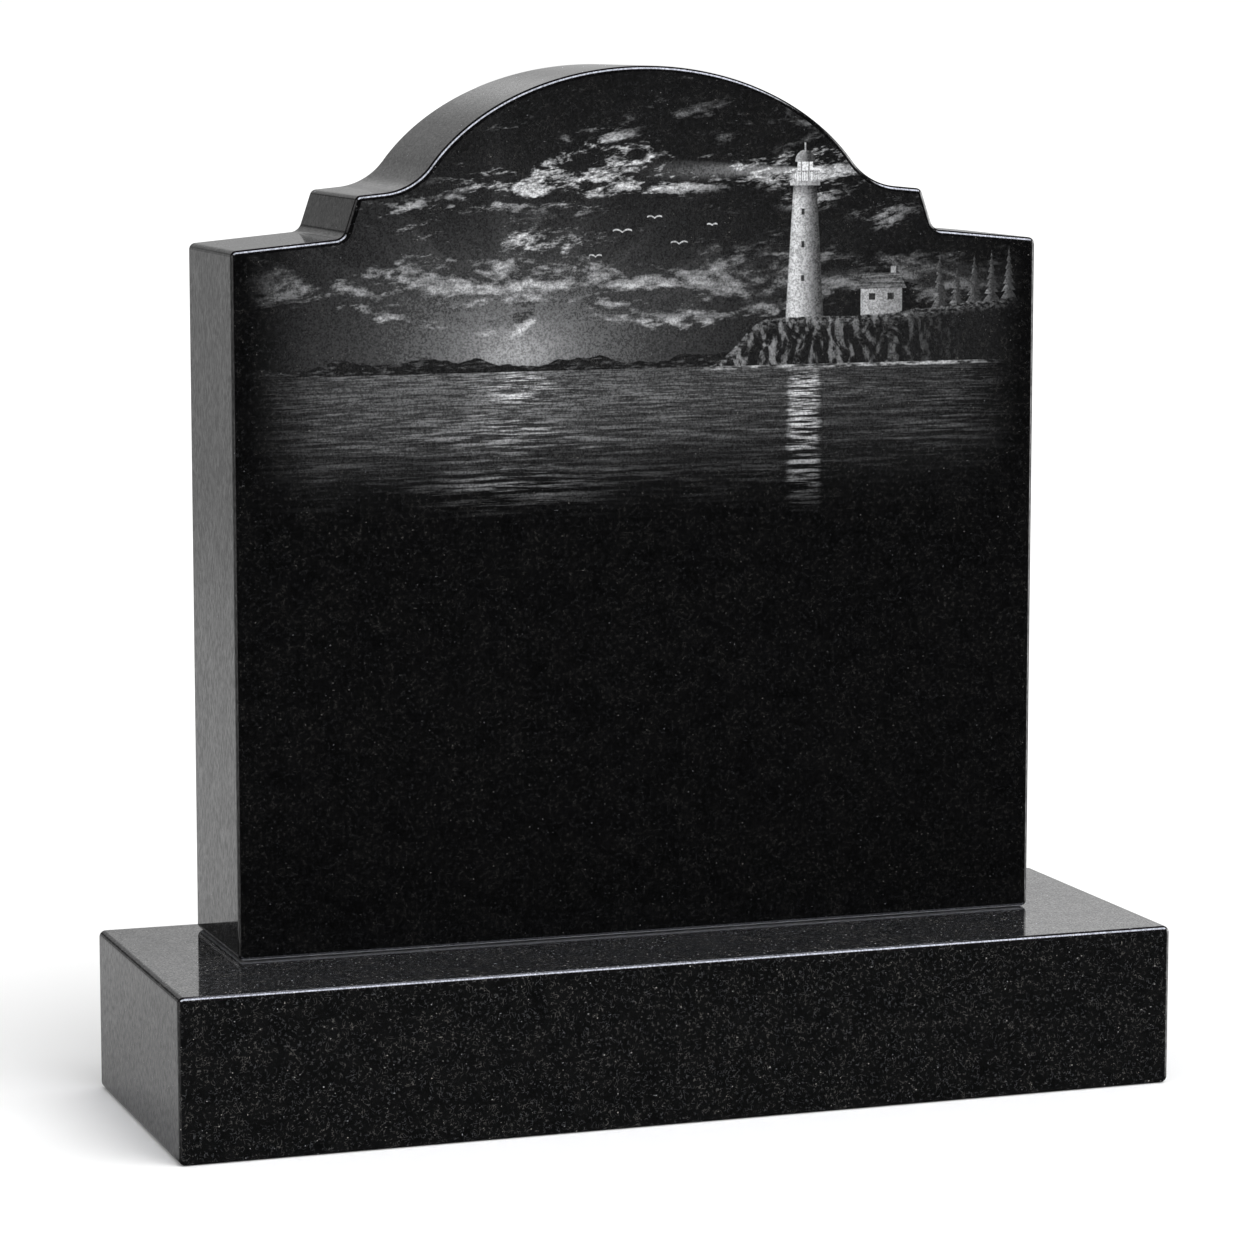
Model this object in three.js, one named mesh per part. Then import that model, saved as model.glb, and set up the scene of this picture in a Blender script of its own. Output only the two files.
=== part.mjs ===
import * as THREE from "three";

// A headstone of polished black granite: an upright tablet standing on a block base.
// Millimetres, +Z up. The tablet's face looks towards -Y, and the origin is on the ground,
// under the middle of the base.

// The tablet, overall.
const TABLET_WIDTH = 750;
const TABLET_HEIGHT = 773;
const TABLET_THICKNESS = 155;

// The tablet's outline, from the outer shoulder up to the crown. Heights go up from the foot.
const SHOULDER_DROP = 156; // from the top of the crown down to the outer shoulder corner
const SHOULDER_WIDTH = 100; // from the tablet's side to the foot of the step
const SHOULDER_SLOPE = 5.3; // degrees, rising towards the middle
const STEP_HEIGHT = 36.5; // from the foot of the step to its corner
const STEP_LEAN = 18.5; // degrees from upright, leaning towards the middle
const LEDGE_SLOPE = 5.5; // degrees, rising towards the middle
const HOLLOW_RADIUS = 59; // of the hollow that sweeps from the ledge into the crown
const CROWN_INSET = 38; // from the step's corner to the end of the crown's long half axis
const CROWN_SPRING = 55; // from the step's corner down to the middle of the crown's ellipse

// Edges. The arris is the small quarter round along every edge of both stones.
const ARRIS = 5;
const CORNER_EASE = 1; // how much larger the rounding is where three edges meet
const STEP_FILLET = 11; // in the inner corner at the foot of the step

// The base block shows as a ledge on all four sides of the tablet.
const BASE_HEIGHT = 145;
const FRONT_LEDGE = 125;
const BACK_LEDGE = 25;
const SIDE_LEDGE = 85;
const BED_JOINT = 0.3; // between the base's top and the tablet's foot

// How finely the round stretches are divided.
const ARRIS_STEPS = 3;
const CORNER_STEPS = 4;
const FILLET_STEPS = 5;
const HOLLOW_STEPS = 9;
const CROWN_STEPS = 22; // on each half of the crown
const SOLVER_STEPS = 50;

const BASE_WIDTH = TABLET_WIDTH + 2 * SIDE_LEDGE;
const BASE_DEPTH = FRONT_LEDGE + TABLET_THICKNESS + BACK_LEDGE;
const CORNER_ROUND = ARRIS + CORNER_EASE;

// The finish of the stone.
const TABLET_COLOUR = 0x101113;
const BASE_COLOUR = 0x141518;
const POLISHED_ROUGHNESS = 0.06;

const point = (x, y) => new THREE.Vector2(x, y);
const radians = THREE.MathUtils.degToRad;

// Points on an arc about a centre, both ends included.
function arc(centre, radius, startAngle, endAngle, steps) {
  const points = [];
  for (let i = 0; i <= steps; i++) {
    const angle = startAngle + ((endAngle - startAngle) * i) / steps;
    points.push(point(centre.x + radius * Math.cos(angle), centre.y + radius * Math.sin(angle)));
  }
  return points;
}

// Replaces the corner between two straight stretches by an arc that touches both.
function roundedCorner(before, corner, after, radius, steps) {
  const inward = before.clone().sub(corner).normalize();
  const outward = after.clone().sub(corner).normalize();
  const halfAngle = Math.acos(inward.dot(outward)) / 2;
  const bisector = inward.clone().add(outward).normalize();
  const centre = corner.clone().addScaledVector(bisector, radius / Math.sin(halfAngle));
  const reach = radius / Math.tan(halfAngle);
  const start = corner.clone().addScaledVector(inward, reach).sub(centre).angle();
  const end = corner.clone().addScaledVector(outward, reach).sub(centre).angle();
  const turn = ((end - start + 3 * Math.PI) % (2 * Math.PI)) - Math.PI;
  return arc(centre, radius, start, start + turn, steps);
}

// The crown is the top of an ellipse. This gives the centre of the hollow's circle that touches
// it from outside, at the given parameter of the ellipse.
function hollowCentre(crown, parameter) {
  const touch = point(
    crown.halfSpan * Math.cos(parameter),
    crown.middle + crown.rise * Math.sin(parameter),
  );
  const normal = point(
    crown.rise * Math.cos(parameter),
    crown.halfSpan * Math.sin(parameter),
  ).normalize();
  return touch.addScaledVector(normal, HOLLOW_RADIUS);
}

// The hollow's arc touches the crown and the ledge. The parameter where it meets the crown is
// found by halving an interval.
function hollowAndCrown(stepCorner) {
  const crown = {
    halfSpan: stepCorner.x - CROWN_INSET,
    middle: stepCorner.y - CROWN_SPRING,
    rise: TABLET_HEIGHT - stepCorner.y + CROWN_SPRING,
  };
  const ledgeAngle = radians(LEDGE_SLOPE);
  const ledgeNormal = point(Math.sin(ledgeAngle), Math.cos(ledgeAngle));
  let low = 0;
  let high = Math.PI / 2;
  for (let i = 0; i < SOLVER_STEPS; i++) {
    const parameter = (low + high) / 2;
    const aboveLedge = hollowCentre(crown, parameter).sub(stepCorner).dot(ledgeNormal);
    if (aboveLedge < HOLLOW_RADIUS) {
      low = parameter;
    } else {
      high = parameter;
    }
  }
  const centre = hollowCentre(crown, low);
  const normalAngle = Math.atan2(crown.halfSpan * Math.sin(low), crown.rise * Math.cos(low));
  const hollow = arc(
    centre, HOLLOW_RADIUS, -Math.PI / 2 - ledgeAngle, normalAngle - Math.PI, HOLLOW_STEPS,
  );
  const crownPoints = [];
  for (let i = 1; i <= CROWN_STEPS; i++) {
    const parameter = low + ((Math.PI / 2 - low) * i) / CROWN_STEPS;
    crownPoints.push(point(
      crown.halfSpan * Math.cos(parameter),
      crown.middle + crown.rise * Math.sin(parameter),
    ));
  }
  return { hollow, crownPoints };
}

// The tablet's outline: the right half from the foot to the top of the crown, then its mirror.
function tabletOutline() {
  const side = TABLET_WIDTH / 2;
  const footMiddle = point(0, 0);
  const foot = point(side, 0);
  const shoulder = point(side, TABLET_HEIGHT - SHOULDER_DROP);
  const stepFoot = point(
    side - SHOULDER_WIDTH,
    shoulder.y + SHOULDER_WIDTH * Math.tan(radians(SHOULDER_SLOPE)),
  );
  const stepCorner = point(
    stepFoot.x - STEP_HEIGHT * Math.tan(radians(STEP_LEAN)),
    stepFoot.y + STEP_HEIGHT,
  );
  const { hollow, crownPoints } = hollowAndCrown(stepCorner);
  const right = [
    ...roundedCorner(footMiddle, foot, shoulder, CORNER_ROUND, CORNER_STEPS),
    ...roundedCorner(foot, shoulder, stepFoot, CORNER_ROUND, CORNER_STEPS),
    ...roundedCorner(shoulder, stepFoot, stepCorner, STEP_FILLET, FILLET_STEPS),
    ...roundedCorner(stepFoot, stepCorner, hollow[0], CORNER_ROUND, CORNER_STEPS),
    ...hollow,
    ...crownPoints,
  ];
  const left = right.slice(0, -1).reverse().map((p) => point(-p.x, p.y));
  return [...right, ...left];
}

// The base's front outline: a rectangle with the same rounded corners.
function baseOutline() {
  const side = BASE_WIDTH / 2;
  const corners = [
    point(-side, 0),
    point(side, 0),
    point(side, BASE_HEIGHT),
    point(-side, BASE_HEIGHT),
  ];
  return corners.flatMap((corner, i) => roundedCorner(
    corners[(i + 3) % 4], corner, corners[(i + 1) % 4], CORNER_ROUND, CORNER_STEPS,
  ));
}

// A block with an outline drawn in the XZ plane, its front face at y = 0 and the arris turned on
// the front and back edges.
function block(outline, thickness) {
  const geometry = new THREE.ExtrudeGeometry(new THREE.Shape(outline), {
    depth: thickness - 2 * ARRIS,
    bevelEnabled: true,
    bevelThickness: ARRIS,
    bevelSize: ARRIS,
    bevelOffset: -ARRIS,
    bevelSegments: ARRIS_STEPS,
  });
  geometry.rotateX(Math.PI / 2);
  geometry.translate(0, thickness - ARRIS, 0);
  return geometry;
}

function granite(color) {
  return new THREE.MeshStandardMaterial({ color, roughness: POLISHED_ROUGHNESS, metalness: 0 });
}

const base = new THREE.Mesh(block(baseOutline(), BASE_DEPTH), granite(BASE_COLOUR));
base.name = "base";
base.position.set(0, -BASE_DEPTH / 2, 0);

const tablet = new THREE.Mesh(block(tabletOutline(), TABLET_THICKNESS), granite(TABLET_COLOUR));
tablet.name = "tablet";
tablet.position.set(0, FRONT_LEDGE - BASE_DEPTH / 2, BASE_HEIGHT + BED_JOINT);

const headstone = new THREE.Group();
headstone.name = "headstone";
headstone.add(base, tablet);

export default headstone;
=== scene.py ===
import math
import bpy
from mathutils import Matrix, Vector


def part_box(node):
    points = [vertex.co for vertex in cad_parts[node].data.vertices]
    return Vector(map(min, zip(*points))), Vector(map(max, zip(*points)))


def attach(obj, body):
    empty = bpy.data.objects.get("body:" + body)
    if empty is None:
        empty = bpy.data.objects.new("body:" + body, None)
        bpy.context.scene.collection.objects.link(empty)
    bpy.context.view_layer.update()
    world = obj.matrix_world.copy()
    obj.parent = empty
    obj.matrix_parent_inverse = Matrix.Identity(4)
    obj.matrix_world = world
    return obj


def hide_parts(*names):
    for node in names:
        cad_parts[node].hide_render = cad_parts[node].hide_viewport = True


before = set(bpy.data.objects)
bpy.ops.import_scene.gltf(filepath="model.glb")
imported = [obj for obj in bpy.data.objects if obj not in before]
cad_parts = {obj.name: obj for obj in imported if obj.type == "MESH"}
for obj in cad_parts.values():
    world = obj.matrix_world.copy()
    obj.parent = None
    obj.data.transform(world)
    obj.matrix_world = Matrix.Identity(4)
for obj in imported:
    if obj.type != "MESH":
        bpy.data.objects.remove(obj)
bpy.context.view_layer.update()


# The base: one rectangular block of black granite, polished on every side that shows. Its edges
# are turned to a small quarter round, the arris, and its corners are a little rounder still.
ARRIS = 0.005
CORNER_ROUND = 0.006
ARRIS_STEPS = 12
CORNER_STEPS = 10

# How light the stone's ground and its flecks are.
BASE_GROUND = 0.006
BASE_FLECKS = 1.1

# The granite's own sizes, in metres.
CRYSTAL_LENGTH = 0.0023
POLISH_RELIEF = 0.0002

# How many of each there are to the metre.
CLOUDS = 60
SPARKS = 480
WAVES_ACROSS = 14
WAVES_UP = 2
POLISHING_MARKS_ACROSS = 620
POLISHING_MARKS_UP = 170

COOL_FLECK = (0.32, 0.33, 0.35, 1)
WARM_FLECK = (0.35, 0.335, 0.31, 1)
DUST = (0.82, 0.84, 0.92, 1)
GLAZE_ROUGHNESS = 0.06
STONE_IOR = 1.43


class Shade:
    """A value in a material. Arithmetic on values adds the Math nodes that work it out."""

    def __init__(self, socket):
        self.socket = socket

    @staticmethod
    def node(tree, kind, settings, values):
        """Adds a node, sets it up, fills or links its sockets, and gives its outputs in order."""
        made = tree.nodes.new(kind)
        for name, setting in settings.items():
            setattr(made, name, setting)
        for name, value in values.items():
            if isinstance(value, Shade):
                tree.links.new(value.socket, made.inputs[name])
            else:
                made.inputs[name].default_value = value
        return [Shade(socket) for socket in made.outputs]

    def math(self, operation, *values):
        tree = self.socket.id_data
        return self.node(tree, "ShaderNodeMath", {"operation": operation}, dict(enumerate(values)))[0]

    def __add__(self, other):
        return self.math("ADD", self, other)

    def __radd__(self, other):
        return self.math("ADD", other, self)

    def __sub__(self, other):
        return self.math("SUBTRACT", self, other)

    def __rsub__(self, other):
        return self.math("SUBTRACT", other, self)

    def __mul__(self, other):
        return self.math("MULTIPLY", self, other)

    def __rmul__(self, other):
        return self.math("MULTIPLY", other, self)

    def __truediv__(self, other):
        return self.math("DIVIDE", self, other)

    def __rtruediv__(self, other):
        return self.math("DIVIDE", other, self)

    def __pow__(self, other):
        return self.math("POWER", self, other)

    def __abs__(self):
        return self.math("ABSOLUTE", self)

    def at_least(self, low):
        return self.math("MAXIMUM", self, low)

    def at_most(self, high):
        return self.math("MINIMUM", self, high)

    def rounded_down(self):
        return self.math("FLOOR", self)


def smooth(value, start, end):
    """Goes softly from 0 to 1 while the value goes from start to end, also downwards."""
    settings = {"interpolation_type": "SMOOTHSTEP"}
    values = {"Value": value, "From Min": start, "From Max": end}
    return Shade.node(value.socket.id_data, "ShaderNodeMapRange", settings, values)[0]


def vector(x, y, z):
    tree = x.socket.id_data
    return Shade.node(tree, "ShaderNodeCombineXYZ", {}, {"X": x, "Y": y, "Z": z})[0]


def noise(place, scale, detail=2.0, roughness=0.5, distortion=0.0):
    values = {
        "Vector": place,
        "Scale": scale,
        "Detail": detail,
        "Roughness": roughness,
        "Distortion": distortion,
    }
    return Shade.node(place.socket.id_data, "ShaderNodeTexNoise", {}, values)[0]


def mixed_colours(factor, first, second):
    """Goes from the first colour to the second. A Mix node takes them at its sockets 6 and 7."""
    settings = {"data_type": "RGBA"}
    values = {"Factor": factor, 6: first, 7: second}
    _, _, colour, *_ = Shade.node(factor.socket.id_data, "ShaderNodeMix", settings, values)
    return colour


def strands(place, wavelength):
    """Thin curved strokes, 1 on a stroke, from the lines along which a noise crosses its middle."""
    line = smooth(abs(noise(place, 1 / wavelength, 0) - 0.5), 0.06, 0.015)
    return line * smooth(noise(place, 0.6 / wavelength, 0), 0.42, 0.68)


def polished_granite(name, ground, fleck_light):
    """Black granite with its fine light flecks. Gives the material, the place on the stone in
    metres as three values, and the stone's colour and roughness."""
    material = bpy.data.materials.new(name)
    material.use_nodes = True
    tree = material.node_tree
    surface = tree.nodes["Principled BSDF"]
    _, _, _, place, *_ = Shade.node(tree, "ShaderNodeTexCoord", {}, {})
    metres = Shade.node(tree, "ShaderNodeSeparateXYZ", {}, {"Vector": place})
    x, y, z = metres
    cloudiness = noise(place, CLOUDS, 3, 0.6)

    # Light flecks of two kinds on a ground that is dark in patches.
    crystals = strands(place, CRYSTAL_LENGTH)
    strokes = crystals * (0.25 + 1.5 * cloudiness)
    sparks = smooth(noise(place, SPARKS, 0), 0.79, 0.88)
    flecks = 0.13 * strokes + 0.85 * sparks
    lighter = 1.5 * ground
    dark = mixed_colours(cloudiness, (0, 0, 0, 1), (lighter, lighter, 1.06 * lighter, 1))
    fleck = mixed_colours(smooth(cloudiness, 0.4, 0.6), COOL_FLECK, WARM_FLECK)

    # A little dust lies on the sides that look up, and the flecks there are painted lighter: painted
    # light from above.
    _, normal, *_ = Shade.node(tree, "ShaderNodeNewGeometry", {}, {})
    _, _, upward = Shade.node(tree, "ShaderNodeSeparateXYZ", {}, {"Vector": normal})
    topside = smooth(upward, 0.85, 1.0)
    # The flecks on upward sides are painted up to two and a half times lighter, as painted light.
    colour = mixed_colours(flecks * fleck_light * (1 + 1.5 * topside), dark, fleck)
    dust = 0.016 * topside * (0.4 + 1.2 * cloudiness)
    colour = mixed_colours(dust, colour, DUST)
    roughness = 0.035 + 0.03 * cloudiness + 0.12 * strokes + 0.3 * sparks

    # The polish has long shallow waves, and upright polishing marks where its gloss comes and goes.
    waves = noise(vector(x * WAVES_ACROSS, y * WAVES_ACROSS, z * WAVES_UP), 1, 1)
    relief = {"Strength": 1.0, "Distance": POLISH_RELIEF, "Height": waves + 0.07 * crystals}
    polish = Shade.node(tree, "ShaderNodeBump", {}, relief)[0]
    marks_place = vector(
        x * POLISHING_MARKS_ACROSS, y * POLISHING_MARKS_ACROSS, z * POLISHING_MARKS_UP,
    )
    marks = noise(marks_place, 1, 2, 0.6)
    glaze = smooth(marks, 0.36, 0.64) * (0.4 + 0.8 * cloudiness)

    tree.links.new(polish.socket, surface.inputs["Normal"])
    tree.links.new(colour.socket, surface.inputs["Base Color"])
    tree.links.new(roughness.socket, surface.inputs["Roughness"])
    tree.links.new(glaze.socket, surface.inputs["Coat Weight"])
    surface.inputs["Coat Roughness"].default_value = GLAZE_ROUGHNESS
    surface.inputs["IOR"].default_value = STONE_IOR
    return material, metres, colour, roughness


def arc(centre, radius, start, end, steps, bulge):
    """Points on an arc with their normals, which point to the centre where the bulge is -1."""
    points = []
    for step in range(steps + 1):
        angle = start + (end - start) * step / steps
        away = Vector((math.cos(angle), math.sin(angle)))
        points.append((centre + radius * away, bulge * away))
    return points


def rounded_corner(before, corner, after, radius, steps):
    """The arc that replaces a corner of an outline which runs anticlockwise round the stone."""
    backward = (before - corner).normalized()
    forward = (after - corner).normalized()
    half_angle = math.acos(backward.dot(forward)) / 2
    centre = corner + (backward + forward).normalized() * radius / math.sin(half_angle)
    reach = radius / math.tan(half_angle)
    first = corner + backward * reach - centre
    last = corner + forward * reach - centre
    start = math.atan2(first.y, first.x)
    turn = (math.atan2(last.y, last.x) - start + math.pi) % (2 * math.pi) - math.pi
    return arc(centre, radius, start, start + turn, steps, 1 if turn > 0 else -1)


def turned_block(name, outline, front, back, cuts=()):
    """A slab from an outline of points and normals, with the arris turned on both faces. Each cut
    across the front is given by how many points lie below it on each side. The mesh starts with
    the front's bands: the top one, and then the others from the bottom up."""
    quarter = [math.pi / 2 * step / ARRIS_STEPS for step in range(ARRIS_STEPS + 1)]
    rings = [(back, -1, angle) for angle in reversed(quarter)]
    rings += [(front, 1, angle) for angle in quarter]
    vertices = []
    normals = []
    for face, inward, angle in rings:
        inset = ARRIS * (1 - math.cos(angle))
        y = face + inward * ARRIS * (1 - math.sin(angle))
        for spot, normal in outline:
            edge = spot - inset * normal
            vertices.append((edge.x, y, edge.y))
            tilt = math.cos(angle)
            normals.append((normal.x * tilt, -inward * math.sin(angle), normal.y * tilt))
    count = len(outline)
    front_ring = count * (len(rings) - 1)
    top = cuts[-1] if cuts else 0
    bands = [list(range(top, count - top))]
    for low, high in zip([0, *cuts], cuts):
        bands.append([*range(low, high + 1), *range(count - 1 - high, count - low)])
    faces = [[front_ring + i for i in band] for band in bands]
    faces.append([i for i in reversed(range(count))])
    for ring in range(len(rings) - 1):
        behind = ring * count
        ahead = behind + count
        for i in range(count):
            after = (i + 1) % count
            faces.append([ahead + i, behind + i, behind + after, ahead + after])
    mesh = bpy.data.meshes.new(name)
    mesh.from_pydata(vertices, [], faces)
    mesh.shade_smooth()
    mesh.normals_split_custom_set_from_vertices(normals)
    block = bpy.data.objects.new(name, mesh)
    bpy.context.scene.collection.objects.link(block)
    return block


base_low, base_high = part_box("base")
base_corners = [
    Vector((base_low.x, base_low.z)),
    Vector((base_high.x, base_low.z)),
    Vector((base_high.x, base_high.z)),
    Vector((base_low.x, base_high.z)),
]
base_outline = []
for i, corner in enumerate(base_corners):
    after = base_corners[(i + 1) % len(base_corners)]
    base_outline += rounded_corner(base_corners[i - 1], corner, after, CORNER_ROUND, CORNER_STEPS)
base = turned_block("base_block", base_outline, base_low.y, base_high.y)
base_granite, *_ = polished_granite("base granite", BASE_GROUND, BASE_FLECKS)
base.data.materials.append(base_granite)
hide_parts("base")
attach(base, "root")


# The tablet: one slab of the same granite, sawn to its outline and polished all round. On each
# side a shoulder, a leaning step and a hollow lead up to the elliptical crown. It is bedded on
# setting compound, and a thin pale line is painted along the foot: partly the compound, partly a
# painted highlight that hides the shade of the joint.
SHOULDER_DROP = 0.156
SHOULDER_WIDTH = 0.1
SHOULDER_SLOPE = math.radians(5.3)
STEP_HEIGHT = 0.0365
STEP_LEAN = math.radians(18.5)
LEDGE_SLOPE = math.radians(5.5)
HOLLOW_RADIUS = 0.059
CROWN_INSET = 0.038
CROWN_SPRING = 0.055
STEP_FILLET = 0.011
HOLLOW_STEPS = 28
CROWN_STEPS = 96
HALVINGS = 50

# The heights above the foot at which the face is cut, so that each band has its own finish.
PICTURE_FOOT = 0.33
HORIZON = 0.508

TABLET_GROUND = 0.003
TABLET_FLECKS = 0.33
COMPOUND_AND_HIGHLIGHT = (0.7, 0.7, 0.72, 1)
COMPOUND_AND_HIGHLIGHT_HEIGHT = 0.0018
COMPOUND_AND_HIGHLIGHT_EDGE = 0.0005

tablet_low, tablet_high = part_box("tablet")


def crown_point(crown, parameter):
    """A point on the crown's ellipse, and its normal."""
    half_span, middle, rise = crown
    spot = Vector((half_span * math.cos(parameter), middle + rise * math.sin(parameter)))
    normal = Vector((rise * math.cos(parameter), half_span * math.sin(parameter)))
    return spot, normal.normalized()


def hollow_and_crown(step_corner, top):
    """The hollow's arc touches the ledge and the crown. Halving finds where it meets the crown."""
    middle = step_corner.y - CROWN_SPRING
    crown = (step_corner.x - CROWN_INSET, middle, top - middle)
    ledge_normal = Vector((math.sin(LEDGE_SLOPE), math.cos(LEDGE_SLOPE)))
    low = 0
    high = math.pi / 2
    for _ in range(HALVINGS):
        parameter = (low + high) / 2
        spot, normal = crown_point(crown, parameter)
        if (spot + HOLLOW_RADIUS * normal - step_corner).dot(ledge_normal) < HOLLOW_RADIUS:
            low = parameter
        else:
            high = parameter
    spot, normal = crown_point(crown, low)
    start = -math.pi / 2 - LEDGE_SLOPE
    end = math.atan2(normal.y, normal.x) - math.pi
    hollow = arc(spot + HOLLOW_RADIUS * normal, HOLLOW_RADIUS, start, end, HOLLOW_STEPS, -1)
    steps = [low + (math.pi / 2 - low) * i / CROWN_STEPS for i in range(1, CROWN_STEPS + 1)]
    return hollow, [crown_point(crown, parameter) for parameter in steps]


def tablet_outline():
    """The right half from the foot to the top of the crown, then its mirror."""
    side = tablet_high.x
    middle = Vector((0, tablet_low.z))
    foot = Vector((side, tablet_low.z))
    shoulder = Vector((side, tablet_high.z - SHOULDER_DROP))
    step_foot = shoulder + Vector((-SHOULDER_WIDTH, SHOULDER_WIDTH * math.tan(SHOULDER_SLOPE)))
    step_corner = step_foot + Vector((-STEP_HEIGHT * math.tan(STEP_LEAN), STEP_HEIGHT))
    hollow, crown = hollow_and_crown(step_corner, tablet_high.z)
    right = rounded_corner(middle, foot, shoulder, CORNER_ROUND, CORNER_STEPS)
    for cut in (PICTURE_FOOT, HORIZON):
        right.append((Vector((side, tablet_low.z + cut)), Vector((1, 0))))
    right += rounded_corner(foot, shoulder, step_foot, CORNER_ROUND, CORNER_STEPS)
    right += rounded_corner(shoulder, step_foot, step_corner, STEP_FILLET, CORNER_STEPS)
    right += rounded_corner(step_foot, step_corner, hollow[0][0], CORNER_ROUND, CORNER_STEPS)
    right += hollow + crown
    flip = Vector((-1, 1))
    left = [(spot * flip, normal * flip) for spot, normal in reversed(right[:-1])]
    return right + left


def refinish(material, colour, roughness):
    """Gives a stone this colour and roughness in place of its own."""
    tree = material.node_tree
    surface = tree.nodes["Principled BSDF"]
    tree.links.new(colour.socket, surface.inputs["Base Color"])
    tree.links.new(roughness.socket, surface.inputs["Roughness"])


foot_points = CORNER_STEPS + 1
cuts = [foot_points, foot_points + 1]
tablet = turned_block("tablet_slab", tablet_outline(), tablet_low.y, tablet_high.y, cuts)
tablet_granite, metres, stone_colour, stone_roughness = polished_granite(
    "tablet granite", TABLET_GROUND, TABLET_FLECKS,
)
above_foot = metres[2] - tablet_low.z
# The lowest strip of the face is painted pale: setting compound, and a painted highlight over the
# shade of the joint.
compound_and_highlight = smooth(above_foot, COMPOUND_AND_HIGHLIGHT_HEIGHT, COMPOUND_AND_HIGHLIGHT_HEIGHT - COMPOUND_AND_HIGHLIGHT_EDGE)
foot_colour = mixed_colours(compound_and_highlight, stone_colour, COMPOUND_AND_HIGHLIGHT)
refinish(tablet_granite, foot_colour, stone_roughness + 0.6 * compound_and_highlight)
tablet.data.materials.append(tablet_granite)
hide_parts("tablet")
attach(tablet, "root")


# The picture on the tablet's face: a headland with a lighthouse above a calm sea at dusk. It is
# etched, so the polish is broken to a pale grey, dense in the lights and bare in the darks. Its
# sizes are in millimetres, from the middle of the face and from the tablet's foot.
MILLIMETRES = 1000
HORIZON_LINE = HORIZON * MILLIMETRES
PICTURE_HALF = 366
DENSEST = 0.86
ETCHED_WHITE = (0.93, 0.94, 0.96, 1)
SKY_BAND = 0


def etched_granite(name):
    """Granite for one band of the picture, with the place on the face."""
    material, metres, colour, roughness = polished_granite(name, TABLET_GROUND, TABLET_FLECKS)
    x = metres[0] * MILLIMETRES
    z = metres[2] * MILLIMETRES - MILLIMETRES * tablet_low.z
    return material, x, z, colour, roughness


def streaks(along, across, seed, detail=5.0, roughness=0.55, distortion=0.0):
    """Noise drawn out along the face, from its wavelengths."""
    return noise(vector(x / along, seed, z / across), 1, detail, roughness, distortion)


def between(value, low, high, edge=0.5):
    return smooth(value, low - edge, low + edge) * smooth(value, high + edge, high - edge)


def over(below, tone, mask):
    """Lays one tone over another where the mask is 1."""
    return below + (tone - below) * mask


def etch(band, material, tone, stone_colour, stone_roughness):
    """Breaks the polish of one band to a tone, in fine dots with the bare stone between them."""
    dots = smooth(noise(vector(x, 0.7, z), 0.6, 2, 0.7), 0.36, 0.62)
    density = tone * (0.55 + 0.75 * dots)
    density = density.at_least(0).at_most(DENSEST)
    colour = mixed_colours(density, stone_colour, ETCHED_WHITE)
    refinish(material, colour, stone_roughness + 0.38 * smooth(density, 0.004, 0.12))
    tablet.data.polygons[band].material_index = len(tablet.data.materials)
    tablet.data.materials.append(material)


# The sky, with the glow low on the left, rays, a bank of cloud and thin high cloud.
GLOW_X = -120
GLOW_Z = 524
BANK_LENGTH = 90
BANK_HEIGHT = 38

etched_sky, x, z, stone_colour, stone_roughness = etched_granite("etched sky")
glow_x = x - GLOW_X
glow_z = z - GLOW_Z


def around_glow(width, height):
    """1 at the glow, falling to a half at these distances beside and above it."""
    return 1 / (1 + (glow_x / width) ** 2 + (glow_z / height) ** 2)


near_glow = around_glow(110, 62) ** 1.5
angle = glow_z.math("ARCTAN2", glow_z, glow_x)
rays = smooth(noise(vector(angle * 5, 0.3, 0), 1, 2), 0.45, 0.72) * smooth(glow_z, 20, 60)
sky = 0.002 + (0.12 + 0.14 * rays) * near_glow + 0.2 * around_glow(34, 22)

fibres = noise(vector(x / 19 + z / 46, 4.4, z / 6.5 - x / 44), 1, 3, 0.65, 0.6) - 0.5
bank = noise(vector(x / BANK_LENGTH, 3.1, z / BANK_HEIGHT), 1, 5, 0.6, 0.3)
bank_below = noise(vector(x / BANK_LENGTH, 3.1, (z - 7) / BANK_HEIGHT), 1, 5, 0.6, 0.3)
bank_shape = smooth(bank + 0.22 * between(z, 558, 606, 22) + 0.3 * fibres, 0.6, 0.72)
bank_shape = bank_shape * smooth(z, 524, 545)
bank_light = smooth(bank - bank_below + 0.25 * fibres, -0.05, 0.17)
bank_tone = 0.012 + (0.04 + 0.62 * bank_light) * around_glow(210, 120)
sky = over(sky, bank_tone, bank_shape)

wisp = noise(vector(x / 105 + z / 190, 7.7, z / 27 - x / 150), 1, 6, 0.66, 0.5)
threads = noise(vector(x / 7 + z / 15, 2.2, z / 2.3 - x / 13), 1, 2, 0.6, 0.8) - 0.5
patches = smooth(streaks(150, 60, 1.9, 1), 0.4, 0.58)
wisp_edge = smooth(wisp + 0.42 * fibres + 0.16 * threads, 0.515, 0.67)
wisp_light = wisp_edge * (0.62 + 0.9 * threads) * patches * between(z, 608, 716, 20)
sky = sky + wisp_light.at_least(0) * smooth(abs(x + 20), 300, 170)
sky = sky * smooth(abs(x), PICTURE_HALF, 300)

# Gulls, each two raised wings as thin strokes, given by their middle and the length of a wing.
GULLS = [(-22, 628, 9), (8, 640, 7), (31, 617, 8), (-47, 607, 6), (62, 633, 5)]
GULL_TONE = 0.5

for gull_x, gull_z, wing_length in GULLS:
    away = abs(x - gull_x) / wing_length
    wing = gull_z + wing_length * (0.9 * away - 0.75 * away * away)
    stroke = smooth(abs(z - wing), 0.95, 0.35) * smooth(away, 1.02, 0.95)
    sky = over(sky, GULL_TONE, stroke)

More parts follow.
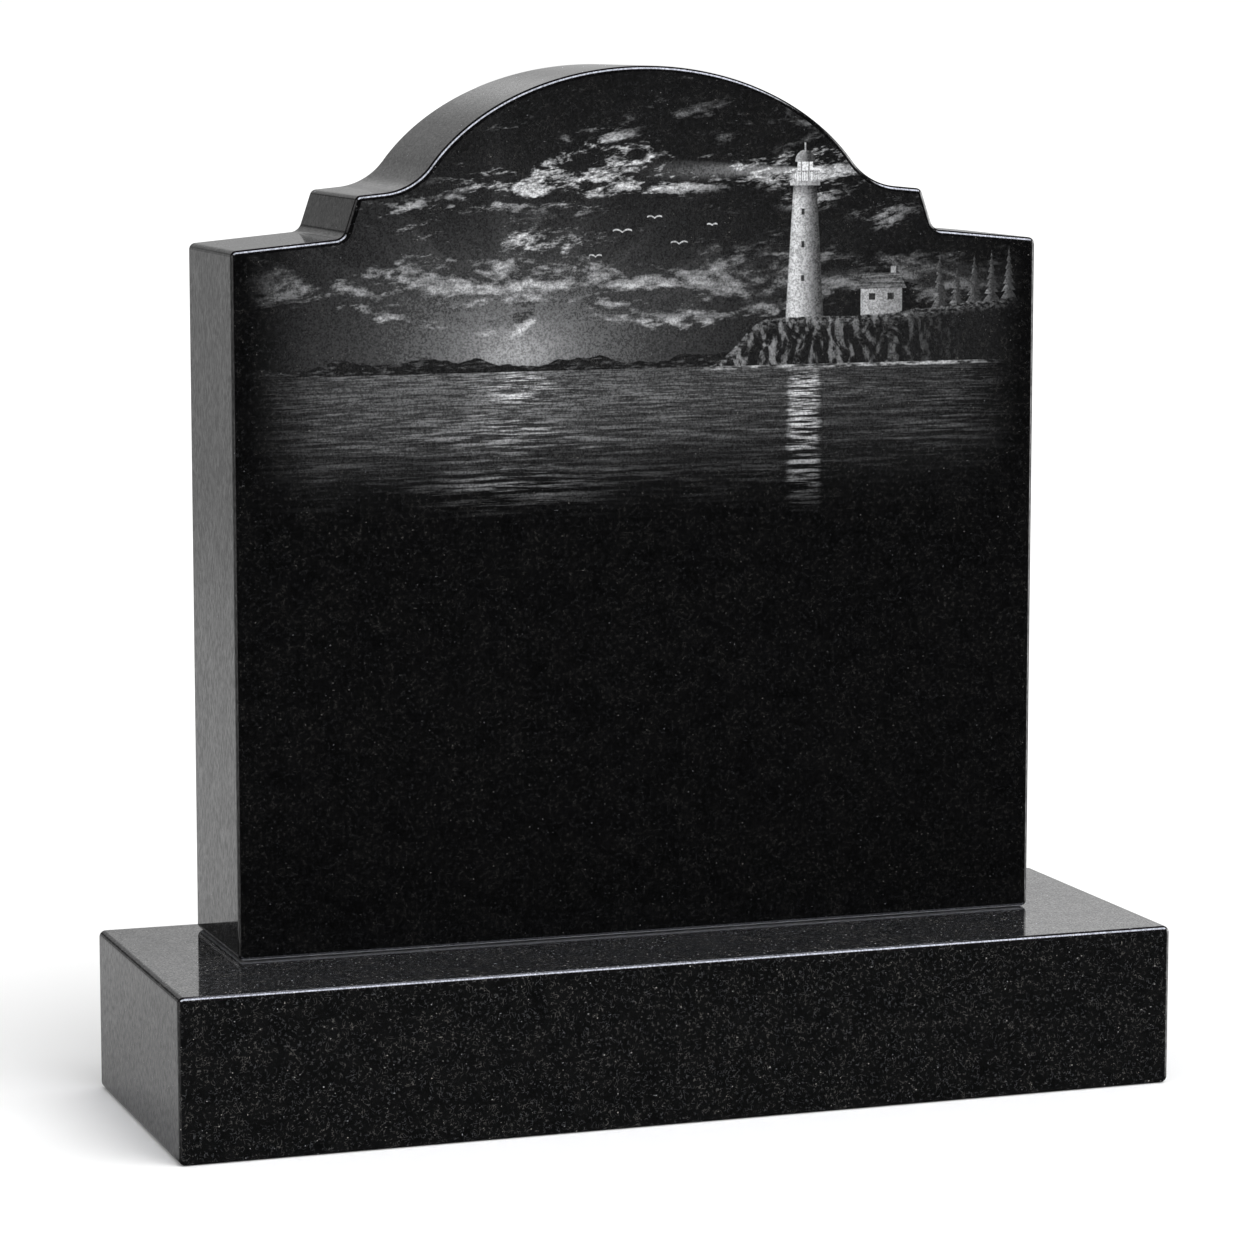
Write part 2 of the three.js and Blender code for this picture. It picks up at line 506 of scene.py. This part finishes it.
# Low hills along the left of the horizon, hatched.
HILL_HEIGHT = 15

hill_rise = smooth(noise(vector(x / 60, 5.2, 0), 1, 4, 0.45), 0.3, 0.75)
ridge = HORIZON_LINE + 3 + HILL_HEIGHT * hill_rise
hatch = smooth(streaks(9, 2.2, 8.4, 3), 0.5, 0.7)
hills = smooth(z - ridge, 0.6, -0.6) * smooth(abs(x), PICTURE_HALF, 330)
scene_tone = over(sky, 0.010 + 0.05 * hatch, hills)

# The lighthouse: a tapered round tower lit from the left, with its gallery, lantern and dome.
TOWER_X = 150
TOWER_FOOT = 545
TOWER_TOP = 668
TOWER_HALF = 18
TOWER_TAPER = 7
TOWER_WINDOWS = (582, 612, 641)
WINDOW_HEIGHT = 5.5
LAMP = 681
GALLERY_HALF = 14
GALLERY_FLOOR = 671
RAIL = 679.5
POST_PITCH = 4.4
LANTERN_TOP = 688
DOME_HALF = 9.5
DOME_RISE = 10.5
FINIAL_TOP = 705

up = (z - TOWER_FOOT) / (TOWER_TOP - TOWER_FOOT)
across = (x - TOWER_X) / (TOWER_HALF - TOWER_TAPER * up)
tower_mask = between(z, TOWER_FOOT - 15, TOWER_TOP) * smooth(abs(across), 1.05, 0.97)
tower_light = 0.05 + 0.62 * smooth(across, 1.0, -0.75) * (0.75 + 0.25 * streaks(26, 5, 2.2, 2))
tower_light = tower_light * (1 - 0.7 * smooth(z, TOWER_TOP - 16, TOWER_TOP))
tower_light = tower_light * (1 - 0.25 * smooth(across, -0.7, -1))
for window_z in TOWER_WINDOWS:
    window = between(x, TOWER_X - 3.4, TOWER_X - 0.4, 0.4)
    window = window * between(z, window_z, window_z + WINDOW_HEIGHT, 0.4)
    tower_light = tower_light * (1 - 0.92 * window)
scene_tone = over(scene_tone, tower_light, tower_mask)

right_of_tower = x - TOWER_X
from_tower = abs(right_of_tower)
beam = smooth(abs(z - LAMP) / (3 + 0.075 * from_tower), 1.0, 0.1) / (1 + (from_tower / 60) ** 2)
beam = beam * smooth(from_tower, 6, 12) * smooth(from_tower, 190, 90)
scene_tone = scene_tone + 0.3 * beam

gallery = between(z, TOWER_TOP - 1, GALLERY_FLOOR + 0.5)
gallery = gallery * smooth(from_tower, GALLERY_HALF + 0.6, GALLERY_HALF)
scene_tone = over(scene_tone, 0.26 + 0.22 * smooth(right_of_tower, 10, -12), gallery)

lantern = between(z, GALLERY_FLOOR, LANTERN_TOP) * smooth(from_tower, 7.6, 7.1)
mullions = smooth(abs(from_tower - 3.6), 0.9, 0.4)
scene_tone = over(scene_tone, 0.82 - 0.6 * mullions, lantern)

rail = smooth(abs(z - RAIL), 0.9, 0.4)
post_place = x / POST_PITCH
posts = smooth(abs(post_place.math("PINGPONG", post_place, 0.5) - 0.25), 0.1, 0.05)
railing = rail + posts * between(z, GALLERY_FLOOR, RAIL)
railing = railing * smooth(from_tower, GALLERY_HALF + 0.2, GALLERY_HALF - 0.2)
scene_tone = over(scene_tone, 0.34, railing)

dome_round = 1 - ((z - LANTERN_TOP) / DOME_RISE) ** 2
dome_half = DOME_HALF * dome_round.at_least(0) ** 0.5
dome = between(z, LANTERN_TOP, LANTERN_TOP + DOME_RISE - 0.1)
dome = dome * smooth(from_tower - dome_half, 0.4, -0.4)
scene_tone = over(scene_tone, 0.05 + 0.32 * smooth(right_of_tower, 4, -6), dome)

finial = between(z, FINIAL_TOP - 8, FINIAL_TOP) * smooth(from_tower, 1.0, 0.5)
scene_tone = over(scene_tone, 0.4, finial)

# The keeper's cottage beside it.
COTTAGE_X = 224
COTTAGE_HALF = 20
COTTAGE_FOOT = 548
EAVES = 574
ROOF_TOP = 588
CHIMNEY_TOP = 594

right_of_cottage = x - COTTAGE_X
from_cottage = abs(right_of_cottage)
chimney = between(right_of_cottage, 9, 14) * between(z, 580, CHIMNEY_TOP)
scene_tone = over(scene_tone, 0.3, chimney)
cottage = between(right_of_cottage, -COTTAGE_HALF, COTTAGE_HALF) * between(z, COTTAGE_FOOT, EAVES + 1)
scene_tone = over(scene_tone, 0.24 + 0.16 * smooth(right_of_cottage, 16, -19), cottage)
panes = smooth(abs(from_cottage - 9), 3.4, 2.8) * between(z, 564, 570)
scene_tone = over(scene_tone, 0.03, panes)
roof_half = COTTAGE_HALF + 5 - 0.5 * (z - EAVES)
roof = between(z, EAVES, ROOF_TOP) * smooth(from_cottage, roof_half, roof_half - 1)
scene_tone = over(scene_tone, 0.07 + 0.1 * smooth(streaks(30, 1.6, 4.0, 1), 0.5, 0.6), roof)

# Pines in a row on the right of the headland, each with its branches in tiers.
PINE_PITCH = 17
PINE_TIERS = 7
PINES_START = 272
PINES_END = 357
LAND_START = 58

land = HORIZON_LINE + 42 * smooth(x, LAND_START, 118) + 12 * smooth(x, 190, 350)
land = land + 9 * (noise(vector(x / 24, 9.1, 0), 1, 4, 0.6) - 0.5) * smooth(x, 55, 90)
row = x / PINE_PITCH
pine_number = row.rounded_down()
pine_spread = abs(row - pine_number - 0.5) * 2
pine_height = 26 + 34 * noise(vector(pine_number * 3.7, 0.5, 0), 1, 0)
rise = (z - land) / pine_height
tiers = rise * PINE_TIERS
tier = tiers - tiers.rounded_down()
pine_reach = (1 - rise) * (0.95 - 0.5 * tier) + 0.12 * (streaks(3, 2, 5.5, 1) - 0.5)
pines = smooth(pine_spread - pine_reach, 0.05, -0.05) * between(x, PINES_START, PINES_END)
pines = pines * smooth(rise, 1.02, 0.98)
pine_light = 0.035 + 0.22 * smooth(row - pine_number, 0.62, 0.2) * (0.3 + 0.7 * hatch)
scene_tone = over(scene_tone, pine_light, pines)

# The headland itself: upright rock lit from the left, with turf along its top.
ROCK_WIDTH = 16
ROCK_HEIGHT = 26

rock = noise(vector(x / ROCK_WIDTH, 6.6, z / ROCK_HEIGHT), 1, 4, 0.6, 0.4)
rock_left = noise(vector((x - 3.5) / ROCK_WIDTH, 6.6, (z - 1) / ROCK_HEIGHT), 1, 4, 0.6, 0.4)
rock_light = smooth(rock - rock_left, -0.02, 0.13)
turf = smooth(z - land, -11, -1) * smooth(streaks(5, 2.4, 12.0, 3), 0.4, 0.65)
headland = smooth(z - land, 0.6, -0.6) * smooth(x, LAND_START - 2, LAND_START + 2)
headland_tone = 0.010 + 0.2 * rock_light * smooth(x, 330, 90) + 0.12 * turf
scene_tone = over(scene_tone, headland_tone * smooth(x, PICTURE_HALF, 322), headland)
etch(SKY_BAND, etched_sky, scene_tone, stone_colour, stone_roughness)


# The sea, etched below the horizon: ripples that widen towards the viewer, the glow's glitter, and
# the tower's broken reflection. It fades into the bare stone below.
SEA_BAND = 2
EYE_HEIGHT = 34
REFLECTION_FOOT = 368

etched_sea, x, z, stone_colour, stone_roughness = etched_granite("etched sea")
glow_x = x - GLOW_X
depth = HORIZON_LINE - z
far = depth + EYE_HEIGHT
ripple_place = vector(x * 2.4 / far, 2.5, far.math("LOGARITHM", far, math.e) * 44)
ripples = noise(ripple_place, 1, 4, 0.62)
swell = streaks(190, 26, 14.0, 2)
glitter = 1 / (1 + (glow_x / (26 + 0.5 * depth)) ** 2)
inside = smooth(abs(x), PICTURE_HALF, 270)
calm = smooth(z, 372, 470) * inside
sea = smooth(ripples, 0.46, 0.7) * (0.05 + 0.45 * glitter ** 2) * calm
sea = sea * (0.35 + 1.3 * smooth(swell, 0.3, 0.7)) + 0.006 * calm
sheen = 0.07 * smooth(z, 395, HORIZON_LINE) / (1 + (glow_x / 230) ** 2)
sea = sea + sheen * (0.35 + 1.1 * smooth(ripples, 0.3, 0.62)) * inside
wobble = 9 * (noise(ripple_place, 0.6, 2) - 0.5)
column = smooth(abs(x - TOWER_X - wobble), TOWER_HALF, 10)
column = column * smooth(z, REFLECTION_FOOT, 470) * smooth(depth, 0, 12)
sea = sea + 0.5 * column * smooth(ripples, 0.42, 0.6)
surf = smooth(abs(depth - 1.5), 2.6, 0.6) * smooth(x, LAND_START - 6, LAND_START + 8)
surf = surf * smooth(streaks(14, 4, 1.0, 2), 0.38, 0.62) * smooth(x, 350, 280)
sea = sea + 0.4 * surf
etch(SEA_BAND, etched_sea, sea, stone_colour, stone_roughness)


# The floor is a plain white sheet. Polished stone mirrors a floor only beside and behind the block,
# as a greyer sheet whose colour is painted shade: darker far behind, and nearly black along its front
# edge.
# The space in front of a stone is kept dark when it is photographed, so that its face stays black.
FLOOR_REACH = 40
FLOOR_BACK = 60
MIRRORED_HEIGHT = 0.0003


def grey(lightness):
    return (lightness, lightness, lightness, 1)


def plain_sheet(name, low_y, height):
    mesh = bpy.data.meshes.new(name)
    corners = [
        (-FLOOR_REACH, low_y, height),
        (FLOOR_REACH, low_y, height),
        (FLOOR_REACH, FLOOR_BACK, height),
        (-FLOOR_REACH, FLOOR_BACK, height),
    ]
    mesh.from_pydata(corners, [], [[0, 1, 2, 3]])
    sheet = bpy.data.objects.new(name, mesh)
    bpy.context.scene.collection.objects.link(sheet)
    return sheet


def paper(name, lightness):
    material = bpy.data.materials.new(name)
    material.use_nodes = True
    surface = material.node_tree.nodes["Principled BSDF"]
    surface.inputs["Base Color"].default_value = grey(lightness)
    surface.inputs["Roughness"].default_value = 1.0
    surface.inputs["Specular IOR Level"].default_value = 0.0
    return material


floor = plain_sheet("floor", -FLOOR_REACH, 0)
floor.data.materials.append(paper("white paper", 0.95))
floor.visible_glossy = False

mirrored_floor = plain_sheet("mirrored_floor", base_low.y, MIRRORED_HEIGHT)
shaded_paper = paper("shaded paper", 0.45)
tree = shaded_paper.node_tree
_, _, _, place, *_ = Shade.node(tree, "ShaderNodeTexCoord", {}, {})
_, distance, _ = Shade.node(tree, "ShaderNodeSeparateXYZ", {}, {"Vector": place})
# Painted shade: the sheet is darker far behind the block, and nearly black along its front edge.
shading = mixed_colours(smooth(distance, 1.5, 5.5), grey(0.45), grey(0.3))
near_edge = smooth(distance, base_low.y, base_low.y + 0.05)
shading = mixed_colours(near_edge, grey(0.03), shading)
tree.links.new(shading.socket, tree.nodes["Principled BSDF"].inputs["Base Color"])
mirrored_floor.data.materials.append(shaded_paper)
mirrored_floor.visible_camera = False
mirrored_floor.visible_diffuse = False
mirrored_floor.visible_shadow = False


# The light: a white studio. What the polish mirrors is a white wall behind the stone, a long soft
# box overhead and a pale panel on each side, with darkness in front.
ROOM_LIGHT = 0.8
BACKDROP_LIGHT = 1.02
DARKNESS = 0.02
SOFT_BOX_LIGHT = 14
SOFT_BOX_TINT = (0.84, 0.87, 1.0, 1)
KEY_ANGLE = math.radians(40)
KEY_LIGHT = 1.7
KEY_DIRECTION = Vector((0.5, -0.8, 1.5))

studio = bpy.data.worlds.new("studio")
bpy.context.scene.world = studio
studio.use_nodes = True
tree = studio.node_tree
direction, *_ = Shade.node(tree, "ShaderNodeTexCoord", {}, {})
right, back, up = Shade.node(tree, "ShaderNodeSeparateXYZ", {}, {"Vector": direction})
wall_light = 0.25 + 0.3 * smooth(right, 0.05, 0.5) + 0.08 * smooth(up, 0.2, 0.3)
wall_light = wall_light + 0.38 * smooth(up, 0.14, 0.24) * smooth(right, 0.05, 0.3)
wall_light = wall_light - 0.23 * smooth(up, 0.1, 0.19) * smooth(right, -0.13, -0.22)
wall = wall_light * smooth(back, 0.25, 0.6) * smooth(up, 0.44, 0.32)
overhead = smooth(back, 0.0, -0.1) * smooth(back, -0.62, -0.52) * smooth(up, 0.56, 0.68)
soft_box = smooth(abs(right), 0.8, 0.62) * overhead
panels = (0.8 + 3 * smooth(right, -0.2, 0.2)) * smooth(abs(right), 0.82, 0.92)
panels = panels * smooth(abs(up - 0.2), 0.55, 0.35)
mirrored = DARKNESS + wall.at_least(panels) + SOFT_BOX_LIGHT * soft_box
for_camera, _, _, for_polish, *_ = Shade.node(tree, "ShaderNodeLightPath", {}, {})
plain = ROOM_LIGHT + (BACKDROP_LIGHT - ROOM_LIGHT) * for_camera
strength = (1 - for_polish) * plain + for_polish * mirrored
tint = mixed_colours(soft_box * for_polish, (1, 1, 1, 1), SOFT_BOX_TINT)
background = tree.nodes["Background"]
tree.links.new(tint.socket, background.inputs["Color"])
tree.links.new(strength.socket, background.inputs["Strength"])

# Matt surfaces see the room evenly white, so it isn't sampled as a lamp.
studio.cycles.sampling_method = "NONE"

key_light = bpy.data.lights.new("key", "SUN")
key_light.angle = KEY_ANGLE
key_light.energy = KEY_LIGHT
key = bpy.data.objects.new("key", key_light)
bpy.context.scene.collection.objects.link(key)
key.rotation_euler = KEY_DIRECTION.to_track_quat("Z", "Y").to_euler()
key.visible_glossy = False


# The camera stands to the left of the middle and a little above the crown, as in the photograph.
# It looks down on the stone and to the right.
CAMERA_PLACE = (-1.313, -3.7345, 0.956)
LOOK_DOWN = 7.72
LOOK_RIGHT = 19.26
SENSOR_WIDTH = 36
FOCAL_LENGTH = 128.1

lens = bpy.data.cameras.new("camera")
lens.sensor_width = SENSOR_WIDTH
lens.lens = FOCAL_LENGTH
camera = bpy.data.objects.new("camera", lens)
bpy.context.scene.collection.objects.link(camera)
camera.location = CAMERA_PLACE
camera.rotation_euler = (math.radians(90 - LOOK_DOWN), 0, math.radians(-LOOK_RIGHT))
bpy.context.scene.camera = camera
bpy.context.scene.view_settings.view_transform = "Standard"
